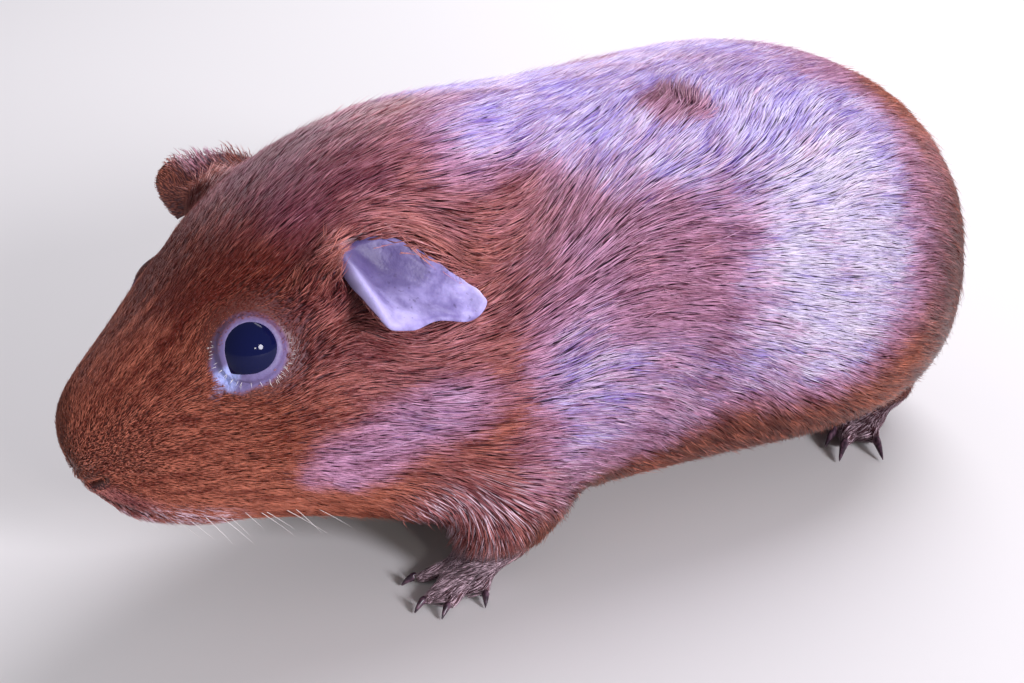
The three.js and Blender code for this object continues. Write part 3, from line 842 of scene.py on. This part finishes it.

# Living skin: brown under the coat, lavender-grey with faint specks and pores where bare, dark on the feet,
# and wet, so glossy, at the corner of the eye, with painted light in its colour: a pale glint at that corner,
# a highlight on the ears' rolls and lobes, shade in the ears' hollows, nostrils, mouth and ear openings, and
# a lavender tint under the silver tips' painted sheen.
living_skin, tree, surface = new_material("skin, bare and under hair")
place = node(tree, "TexCoord", "Object")
blotch, speck, pore = (
    node(tree, "TexNoise", "Fac", {"Vector": place, "Scale": 1 / grain, "Detail": detail})
    for grain, detail in ((BLOTCH, 4.0), (SPECK, 1.0), (PORE, 2.0))
)
SKIN_MARKS = ("silver_and_sheen", "bare", "hide", "hollow_shade", "painted_highlight", "lid", "wet_and_glint", "foot", "hole_shade")
marks = {name: node(tree, "Attribute", "Fac", attribute_name=name) for name in SKIN_MARKS}
mottled, speckled, pore_depth, gloss = (
    node(tree, "MapRange", "Result",
         {"Value": value, "From Min": low, "From Max": high, "To Min": new_low, "To Max": new_high},
         interpolation_type="SMOOTHSTEP")
    for value, low, high, new_low, new_high in (
        (blotch, 0.3, 0.75, 0, 1), (speck, 0.66, 0.74, 0, 0.6),
        (marks["wet_and_glint"], 0, 1, 0.3, 1), (marks["wet_and_glint"], 0, 1, 0.5, 0.08),
    )
)
hide_colour = linear("#6f619b")
# Bare hide: its own blotches and specks, painted shade in the ears' hollows, a painted highlight on their
# rolls and lobes, darker lids, and a painted pale glint at the wet corner of each eye.
for amount, code in (
    (mottled, "#aea3da"), (marks["hollow_shade"], "#4a3c6c"), (speckled, "#4d3f6b"),
    (marks["painted_highlight"], "#cdc3f6"), (marks["lid"], "#6b5f8c"), (marks["wet_and_glint"], "#a6b0ea"),
):
    inputs = {FACTOR: amount, FIRST: hide_colour, SECOND: linear(code)}
    hide_colour = node(tree, "Mix", MIXED, inputs, data_type="RGBA")
colour = linear("#5c2a20")
# Under the coat: lavender under the silver tips with their painted sheen, and painted shade in the nostrils,
# mouth and ear openings.
for mark, layer in (
    ("silver_and_sheen", linear("#7d6a90")), ("bare", linear("#86493c")), ("hide", hide_colour),
    ("foot", linear("#5f3c42")), ("hole_shade", linear("#1c0f10")),
):
    colour = node(tree, "Mix", MIXED, {FACTOR: marks[mark], FIRST: colour, SECOND: layer}, data_type="RGBA")
tree.links.new(colour, surface.inputs["Base Color"])
pores = node(tree, "Bump", "Normal", {"Height": pore, "Strength": pore_depth, "Distance": 0.3 * MM})
tree.links.new(pores, surface.inputs["Normal"])
tree.links.new(gloss, surface.inputs["Roughness"])
surface.inputs["Subsurface Weight"].default_value = 0.08
surface.inputs["Subsurface Radius"].default_value = (2 * MM, 1 * MM, 0.8 * MM)

# Eyeball: a near black iris under a wet clear cornea, so it shows the lamps as small sharp lights.
wet_eye, tree, surface = new_material("wet eyeball")
surface.inputs["Base Color"].default_value = linear("#0c1138")
surface.inputs["Roughness"].default_value = 0.03
surface.inputs["IOR"].default_value = 1.34
surface.inputs["Specular IOR Level"].default_value = 0.3

# Claw horn: near black keratin with a dull polish and paler clouds in it.
claw_horn, tree, surface = new_material("claw horn")
place = node(tree, "TexCoord", "Object")
cloud = node(tree, "TexNoise", "Fac", {"Vector": place, "Scale": 1 / HORN_CLOUD, "Detail": 3.0})
cloud = node(tree, "MapRange", "Result", {"Value": cloud, "From Min": 0.4, "From Max": 0.75},
             interpolation_type="SMOOTHSTEP")
inputs = {FACTOR: cloud, FIRST: linear("#2c1d28"), SECOND: linear("#6e505f")}
tree.links.new(node(tree, "Mix", MIXED, inputs, data_type="RGBA"), surface.inputs["Base Color"])
surface.inputs["Roughness"].default_value = 0.32

# Whisker hair: white smooth keratin, thicker than the coat's hairs.
whisker_hair, tree, surface = new_material("whisker hair")
surface.inputs["Base Color"].default_value = linear("#efe9e6")
surface.inputs["Roughness"].default_value = 0.3

# Floor: matt pale paper, so that soft shadows show.
floor_paper, tree, surface = new_material("studio paper")
surface.inputs["Base Color"].default_value = linear("#d9d7d4")
surface.inputs["Roughness"].default_value = 0.8

# ---- Skin piece and its unwrap ----
skin = piece_of("skin", mesh)
smooth_shaded(mesh)
mesh.materials.clear()
mesh.materials.append(living_skin)
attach(skin, "root")
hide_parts(*FLESH, "ear_left", "ear_right")
mesh.uv_layers.new(name="OFBake")
bpy.context.view_layer.objects.active = skin
skin.select_set(True)
bpy.ops.object.mode_set(mode="EDIT")
bpy.ops.mesh.select_all(action="SELECT")
bpy.ops.uv.smart_project(angle_limit=math.radians(66), island_margin=0.004)
bpy.ops.object.mode_set(mode="OBJECT")
skin_uv = np.empty(len(mesh.loops) * 2, np.float32)
mesh.uv_layers["OFBake"].data.foreach_get("uv", skin_uv)
mesh.calc_loop_triangles()
triangle_loops = np.empty(len(mesh.loop_triangles) * 3, np.int64)
mesh.loop_triangles.foreach_get("loops", triangle_loops)
root_uv = (skin_uv.reshape(-1, 2)[triangle_loops.reshape(-1, 3)][chosen] * share[:, :, None]).sum(axis=1)

# ---- The coat's pieces ----
COAT_PIECES = ["nose", "face", "cheeks", "neck", "shoulders", "waist", "loins", "rump"]
TUFT_POINTS = 5  # its root, a ring of three at its middle, and its tip
TUFT_PATCH = 0.003  # how much of the bake map's width each tuft covers
PALE_SHARE = 0.3  # of the tufts in the middle of a fringe
# Clumps of lighter and darker hair, with the tones and the painted light and shade of the table above.
tone_and_painted_light = ripple(roots, 4.5, 12) * 0.05 + ripple(roots, 30, 13) * 0.04
for centre, spread, amount in TONES_AND_PAINTED_LIGHT.values():
    tone_and_painted_light += near(folded(roots), centre, spread) * amount
root_silver_and_sheen = silver_and_sheen_share(roots)
pale_hairs = paler * (rng.random(size) < PALE_SHARE)
# Painted light and shade in the tone: the ears' fur is lightened as if lit from behind, the gaps between
# locks are darkened, and loose hairs are lightened as glints.
tuft_tone = (
    0.4 + 0.12 * root_silver_and_sheen + 0.45 * at_roots(ear) + 0.4 * pale_hairs + tone_and_painted_light + 0.3 * locks
    + rng.normal(size=size) * (0.17 + 0.2 * stubble) + 0.3 * loose
)
# Pale hairs on the feet, partly their own grizzle and partly painted light that lifts the feet out of their
# shade.
tuft_tone += feet_here * np.where(rng.random(size) < 0.4, 0.9, -0.15)
tuft_tone = np.clip(tuft_tone - 0.25 * feet_here * (roots[:, 1] > 0), 0, 1)
tuft_silver_and_sheen = np.clip(root_silver_and_sheen * (1 + rng.normal(size=size) * 0.1), 0, 1)
tuft_grizzle = np.maximum(feet_here * 0.9, pale_hairs)


def spindle_faces():
    """The faces of a tuft's shape, closed and pointed at both ends, as numbers of its points: 0 is the root,
    1 to 3 are the ring, turning left as seen from the tip, and 4 is the tip."""
    bm = bmesh.new()
    bmesh.ops.create_cone(bm, cap_ends=True, segments=3, radius1=1, radius2=0, depth=2)
    base = [f for f in bm.faces if f.calc_center_median().z < -0.9]
    root = bmesh.ops.poke(bm, faces=base)["verts"]
    bmesh.ops.translate(bm, verts=root, vec=(0, 0, -1))
    in_order = sorted(bm.verts, key=lambda v: (round(v.co.z), math.atan2(v.co.y, v.co.x)))
    number = {vert: index for index, vert in enumerate(in_order)}
    faces = np.array([[number[v] for v in f.verts] for f in bm.faces])
    bm.free()
    return faces


def ring_about(centre, way, up, half):
    """Three corners round a hair, turning left as seen from its tip: two low at its sides and one high."""
    across = unit(np.cross(way, up))
    rise = unit(np.cross(across, way))
    half = half[:, None]
    low = rise * half * 0.25
    return [centre + across * half - low, centre - across * half - low, centre + rise * half * 0.55]


def tuft_piece(name, pick):
    """One mesh of the picked tufts, filled as arrays, because there are too many for an operator on each."""
    ring = ring_about(middles[pick], (tips - sunk)[pick], root_normals[pick], width[pick] * 0.5)
    rows = np.stack([sunk[pick], *ring, tips[pick]], axis=1)
    amount = len(rows)
    faces = (spindle_faces()[None] + TUFT_POINTS * np.arange(amount)[:, None, None]).reshape(-1, 3)
    mesh = bpy.data.meshes.new(name)
    mesh.vertices.add(amount * TUFT_POINTS)
    mesh.vertices.foreach_set("co", (rows * MM).ravel())
    mesh.loops.add(len(faces) * 3)
    mesh.polygons.add(len(faces))
    mesh.loops.foreach_set("vertex_index", faces.ravel())
    mesh.polygons.foreach_set("loop_start", np.arange(0, len(faces) * 3, 3))
    mesh.update(calc_edges=True)
    smooth_shaded(mesh)
    keep_value(mesh, "reach", np.tile([0, 0.5, 0.5, 0.5, 1], amount))
    for label, values in (("tone", tuft_tone), ("silver_and_sheen", tuft_silver_and_sheen), ("grizzle", tuft_grizzle)):
        keep_value(mesh, label, np.repeat(values[pick], TUFT_POINTS))
    patch = np.tile([[0, -0.5], [-0.5, 0], [0.5, 0], [0, 0.1], [0, 0.5]], (amount, 1)) * TUFT_PATCH
    spots = np.repeat(root_uv[pick], TUFT_POINTS, axis=0) + patch
    layer = mesh.uv_layers.new(name="OFBake")
    layer.data.foreach_set("uv", spots[faces.ravel()].astype(np.float32).ravel())
    piece = piece_of(name, mesh)
    mesh.materials.append(guard_hair)
    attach(piece, "root")


feet_last = roots[:, 1] + 300 * (feet_here > 0.5)  # from nose to rump, and then the feet
order = np.argsort(feet_last, kind="stable")
for label, pick in zip(COAT_PIECES, np.array_split(order, len(COAT_PIECES))):
    tuft_piece("coat_" + label, pick)

# ---- Eyeballs and claws ----
for side_name in SIDES:
    bm = bmesh.new()
    bmesh.ops.create_uvsphere(bm, u_segments=64, v_segments=40, radius=EYE_RADIUS * MM)
    bmesh.ops.translate(bm, verts=bm.verts, vec=Vector(EYES[side_name] * MM))
    ball = bpy.data.meshes.new("eyeball_" + side_name)
    bm.to_mesh(ball)
    bm.free()
    smooth_shaded(ball)
    ball.materials.append(wet_eye)
    piece = piece_of("eyeball_" + side_name, ball)
    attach(piece, "root")
    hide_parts("eye_" + side_name)

for paw in ("fore_left", "fore_right", "hind_left", "hind_right"):
    nodes = [n for n in CLAWS if paw in n]
    bm = bmesh.new()
    for name in nodes:
        bm.from_mesh(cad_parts[name].data)
    bmesh.ops.remove_doubles(bm, verts=bm.verts, dist=WELD * MM)
    claws = bpy.data.meshes.new("claws_" + paw)
    bm.to_mesh(claws)
    bm.free()
    claws.materials.clear()
    claws.materials.append(claw_horn)
    smooth_shaded(claws)
    piece = piece_of("claws_" + paw, claws)
    finish = piece.modifiers.new("rounded", "SUBSURF")
    finish.levels = finish.render_levels = 2
    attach(piece, "root")
    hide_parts(*nodes)


# ---- Whiskers and lashes ----
WHISKERS, LASHES = 15, 46  # on each side
WHISKER_THICK, LASH_THICK = 0.16, 0.12
WHISKER_DROOP, LASH_DROOP = 0.12, 0.1  # how far a tip sags, as a share of the hair's length
BRISTLE_BENDS = 7  # rings between a hair's two ends
BRISTLE_TAPER = 0.85  # how much of its thickness a hair loses from root to tip


def straight_rod():
    """A mesh of one three-sided rod, from 0 to 1 along Z, with rings on which it can bend."""
    bm = bmesh.new()
    bmesh.ops.create_cone(bm, cap_ends=True, segments=3, radius1=1, radius2=1, depth=1)
    sides = [e for e in bm.edges if e.verts[0].co.z * e.verts[1].co.z < 0]
    bmesh.ops.subdivide_edges(bm, edges=sides, cuts=BRISTLE_BENDS)
    bmesh.ops.translate(bm, verts=bm.verts, vec=(0, 0, 0.5))
    rod = bpy.data.meshes.new("rod")
    bm.to_mesh(rod)
    bm.free()
    return rod


def bristle_piece(name, starts, ways, lengths, thick, droop, seed):
    """One mesh of long hairs, each a rod that tapers and bends along its length."""
    rng = np.random.default_rng(seed)
    rod = straight_rod()
    bm = bmesh.new()
    for start, way, long in zip(starts, unit(ways), lengths):
        stray = rng.normal(0, 0.02 * long, 3)
        across = unit(np.cross(way, [0.1, 0.2, 1.0]))
        up = unit(np.cross(across, way))
        bm.from_mesh(rod)
        for vert in list(bm.verts)[-len(rod.vertices):]:
            share = vert.co.z
            sag = droop * long * share**2 * np.array([0, 0.35, -1])
            line = start + way * long * share + sag + stray * share**2
            half = thick / 2 * (1 - BRISTLE_TAPER * share**1.5)
            vert.co = Vector((line + (across * vert.co.y + up * vert.co.x) * half) * MM)
    bpy.data.meshes.remove(rod)
    mesh = bpy.data.meshes.new(name)
    bm.to_mesh(mesh)
    bm.free()
    smooth_shaded(mesh)
    mesh.materials.append(whisker_hair)
    piece = piece_of(name, mesh)
    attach(piece, "root")


for side_name, side in SIDES.items():
    rng = np.random.default_rng(40)
    # Whiskers, in a band from the lip to under the cheek.
    places = [(5 + 14 * t, -106 + 32 * t, 27.5 - 5 * t) for t in np.linspace(0, 1, WHISKERS)]
    places = np.array(places) + rng.normal(0, 0.8, (WHISKERS, 3))
    starts = laid_on_skin(places * [side, 1, 1], np.zeros(WHISKERS))
    ways = np.array([0.4 * side, 0.75, -0.62]) + rng.normal(0, 0.16, (WHISKERS, 3))
    lengths = rng.uniform(5, 10, WHISKERS)
    bristle_piece("whiskers_" + side_name, starts, ways, lengths, WHISKER_THICK, WHISKER_DROOP, 31)
    # Lashes, round the lower part of the lid and up both its ends, longest below.
    axis = mirrored(EYE_AXIS, side)
    across = unit(np.cross(axis, [0, 0, 1.0]))
    up = np.cross(across, axis)
    turns = np.sort(rng.uniform(-1.1 * math.pi, 0.1 * math.pi, LASHES))
    rays = np.array([across * math.cos(t) + up * math.sin(t) for t in turns])
    off_axis = rng.uniform(1.1, 1.24, LASHES)[:, None]
    starts = EYES[side_name] + axis * EYE_RADIUS * 0.42 + rays * EYE_RADIUS * off_axis
    starts = laid_on_skin(starts, np.zeros(LASHES))
    lengths = 0.4 + 0.6 * ramp(-rays[:, 2], -0.3, 0.6)
    ways = rays + axis * 0.5 + rng.normal(0, 0.2, (LASHES, 3))
    bristle_piece("lashes_" + side_name, starts, ways, lengths, LASH_THICK, LASH_DROOP, 32)

# ---- Camera, floor and lights ----
VIEW_TARGET = np.array([-14.9, 0.3, 26.7])
VIEW_TURN, VIEW_RISE, VIEW_ROLL = (math.radians(a) for a in (52.4, 24.0, 1.8))
VIEW_DISTANCE = 350
FLOOR_RADIUS = 3  # in metres
back = Vector((
    math.sin(VIEW_TURN) * math.cos(VIEW_RISE),
    -math.cos(VIEW_TURN) * math.cos(VIEW_RISE),
    math.sin(VIEW_RISE),
))
right = Vector((math.cos(VIEW_TURN), math.sin(VIEW_TURN), 0))
rolled = Matrix((right, back.cross(right), back)).transposed() @ Matrix.Rotation(VIEW_ROLL, 3, "Z")
stand = Vector(VIEW_TARGET * MM) + back * VIEW_DISTANCE * MM
camera = bpy.data.objects.new("camera", bpy.data.cameras.new("camera"))
camera.data.sensor_width = 36
camera.data.lens = 52.8
camera.matrix_world = Matrix.Translation(stand) @ rolled.to_4x4()
bpy.context.scene.collection.objects.link(camera)
bpy.context.scene.camera = camera

bm = bmesh.new()
bmesh.ops.create_circle(bm, cap_ends=True, segments=96, radius=FLOOR_RADIUS)
mesh = bpy.data.meshes.new("floor")
bm.to_mesh(mesh)
bm.free()
floor = piece_of("floor", mesh)
mesh.materials.append(floor_paper)


def area_light(name, place, size, power, colour):
    """A round lamp that faces the animal: its place and size in metres, its power in watts."""
    lamp = bpy.data.lights.new(name, "AREA")
    lamp.shape = "DISK"
    lamp.size, lamp.energy, lamp.color = size, power, colour
    lamp_object = bpy.data.objects.new(name, lamp)
    lamp_object.location = place
    lamp_object.rotation_euler = (-Vector(place)).to_track_quat("-Z", "Y").to_euler()
    bpy.context.scene.collection.objects.link(lamp_object)


area_light("window", (-0.35, 0.75, 0.85), 0.9, 14, (0.93, 0.91, 1.0))
area_light("side window", (1.15, 0.16, 0.5), 0.34, 15.5, (0.92, 0.9, 1.0))
area_light("front fill", (1.08, -0.24, 0.48), 0.12, 1.5, (1.0, 0.95, 0.92))
world = bpy.data.worlds.new("studio")
bpy.context.scene.world = world
world.use_nodes = True
daylight = world.node_tree.nodes["Background"]
daylight.inputs["Color"].default_value = (0.8, 0.8, 0.86, 1)
daylight.inputs["Strength"].default_value = 0.4
bpy.context.scene.view_settings.view_transform = "Standard"
